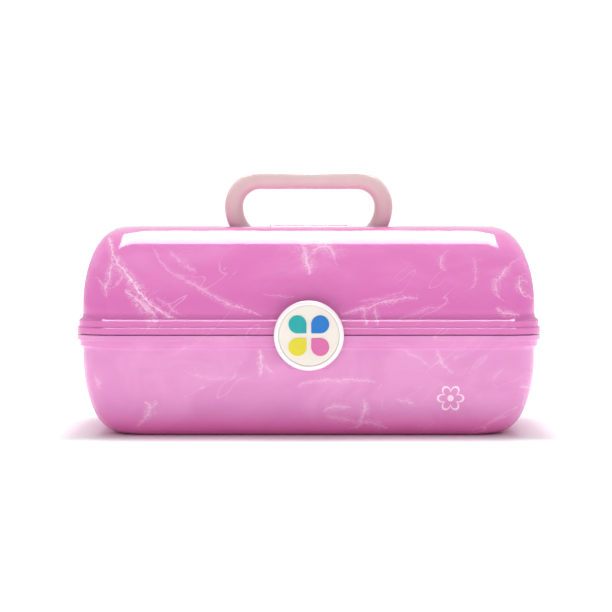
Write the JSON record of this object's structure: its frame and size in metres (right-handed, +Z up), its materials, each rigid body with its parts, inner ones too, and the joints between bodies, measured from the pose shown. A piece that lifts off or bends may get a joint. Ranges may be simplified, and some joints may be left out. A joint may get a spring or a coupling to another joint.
{
  "type": "makeup train case",
  "caption": "Hinged moulded case with a domed lid, folding loop handle, round swing-down latch, self-raising compartment tray and a lid mirror.",
  "frame": {"origin": "on the surface it stands on, under the middle of the tub", "axes": "+X along the case to the right as seen from the latch side, -Y towards the latch, +Z up"},
  "size_m": [0.33, 0.1945, 0.1895],
  "materials": {
    "base_plastic": "glossy pink plastic with thin white marbled veins",
    "lid_plastic": "glossy pink plastic with thin white marbled veins",
    "handle_plastic": "satin ivory plastic",
    "latch_plastic": "glossy white plastic",
    "badge_plastic": "warm white satin insert",
    "petal_teal": "flat teal print, slightly raised",
    "petal_blue": "flat blue print, slightly raised",
    "petal_pink": "flat pink print, slightly raised",
    "petal_yellow": "flat yellow print, slightly raised",
    "tray_plastic": "satin pale pink plastic",
    "steel": "bright plated steel",
    "mirror": "silvered sheet"
  },
  "bodies": {
    "base": {"base_shell": "base_plastic", "hinge_pin_left": "steel", "hinge_pin_right": "steel", "latch_pin": "steel", "arm_base_rivet_left": "steel", "arm_base_rivet_right": "steel"},
    "lid": {"lid_shell": "lid_plastic", "lid_tray_pin_left": "steel", "lid_tray_pin_right": "steel"},
    "arm_left": {"arm_left": "tray_plastic"},
    "arm_right": {"arm_right": "tray_plastic"},
    "tray": {"tray": "tray_plastic", "tray_divider_long": "tray_plastic", "tray_divider_front_1": "tray_plastic", "tray_divider_front_2": "tray_plastic", "tray_divider_rear_1": "tray_plastic", "tray_divider_rear_2": "tray_plastic", "tray_divider_rear_3": "tray_plastic", "arm_tray_rivet_left": "steel", "arm_tray_rivet_right": "steel"},
    "handle": {"handle": "handle_plastic"},
    "latch": {"latch_disc": "latch_plastic", "badge_disc": "badge_plastic", "badge_petal_teal": "petal_teal", "badge_petal_blue": "petal_blue", "badge_petal_pink": "petal_pink", "badge_petal_yellow": "petal_yellow"},
    "mirror": {"mirror_frame": "tray_plastic", "mirror_glass": "mirror"}
  },
  "joints": [
    {"name": "lid_hinge", "type": "hinge", "parent": "base", "child": "lid", "pos_m": [0, 0.0937, 0.073], "axis": [-1, 0, 0], "range_deg": [0, 100]},
    {"name": "arm_left_pivot", "type": "hinge", "parent": "base", "child": "arm_left", "pos_m": [-0.1505, 0.001, 0.053], "axis": [-1, 0, 0], "range_deg": [0, 100]},
    {"name": "arm_right_pivot", "type": "hinge", "parent": "base", "child": "arm_right", "pos_m": [0.1505, 0.001, 0.053], "axis": [-1, 0, 0], "range_deg": [0, 100]},
    {"name": "tray_pivot", "type": "hinge", "parent": "arm_left", "child": "tray", "pos_m": [-0.1475, -0.051, 0.062], "axis": [-1, 0, 0], "range_deg": [-100, 0]},
    {"name": "handle_fold", "type": "hinge", "parent": "lid", "child": "handle", "pos_m": [0, 0, 0.1375], "axis": [-1, 0, 0], "range_deg": [0, 90]},
    {"name": "latch_swing", "type": "hinge", "parent": "base", "child": "latch", "pos_m": [0, -0.088, 0.0525], "axis": [1, 0, 0], "range_deg": [0, 60]},
    {"name": "mirror_tilt", "type": "hinge", "parent": "lid", "child": "mirror", "pos_m": [0, 0.042, 0.1212], "axis": [1, 0, 0], "range_deg": [0, 20]}
  ],
  "couplings": [
    {"joint": "arm_left_pivot", "follows": "lid_hinge", "ratio": 1},
    {"joint": "arm_right_pivot", "follows": "lid_hinge", "ratio": 1},
    {"joint": "tray_pivot", "follows": "lid_hinge", "ratio": -1}
  ]
}
